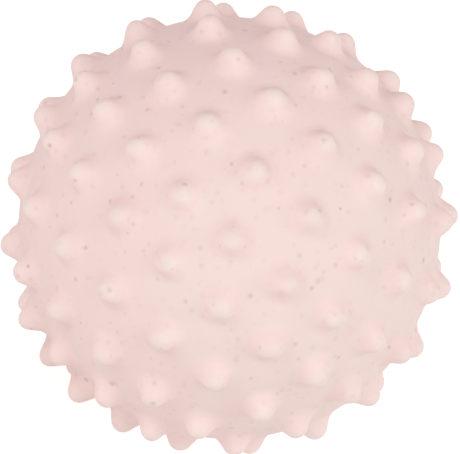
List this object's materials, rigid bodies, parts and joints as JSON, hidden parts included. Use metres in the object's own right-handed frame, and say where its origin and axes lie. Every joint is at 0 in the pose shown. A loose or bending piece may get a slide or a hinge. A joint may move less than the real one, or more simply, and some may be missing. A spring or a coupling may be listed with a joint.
{
  "type": "sensory ball",
  "caption": "Hollow soft-rubber play ball covered with round-tipped bumps in rings, moulded as two halves joined at the equator, with a needle valve at one pole.",
  "frame": {"origin": "centre of the ball, on the plane of the seam between the two halves", "axes": "+Z is the axis of the two moulds, through the two bump-free poles, towards the plain pole; the valve is at the -Z pole; the picture looks along +Y, 9 degrees down"},
  "size_m": [0.0892, 0.0892, 0.088],
  "materials": {
    "shell_rubber": "matt pale pink rubber with fine darker flecks",
    "sleeve_rubber": "matt, firmer cream rubber",
    "core_rubber": "matt, soft tan rubber"
  },
  "bodies": {
    "root": {"upper_half_shell": "shell_rubber", "lower_half_shell": "shell_rubber", "valve_sleeve": "sleeve_rubber", "valve_core": "core_rubber"}
  },
  "joints": []
}
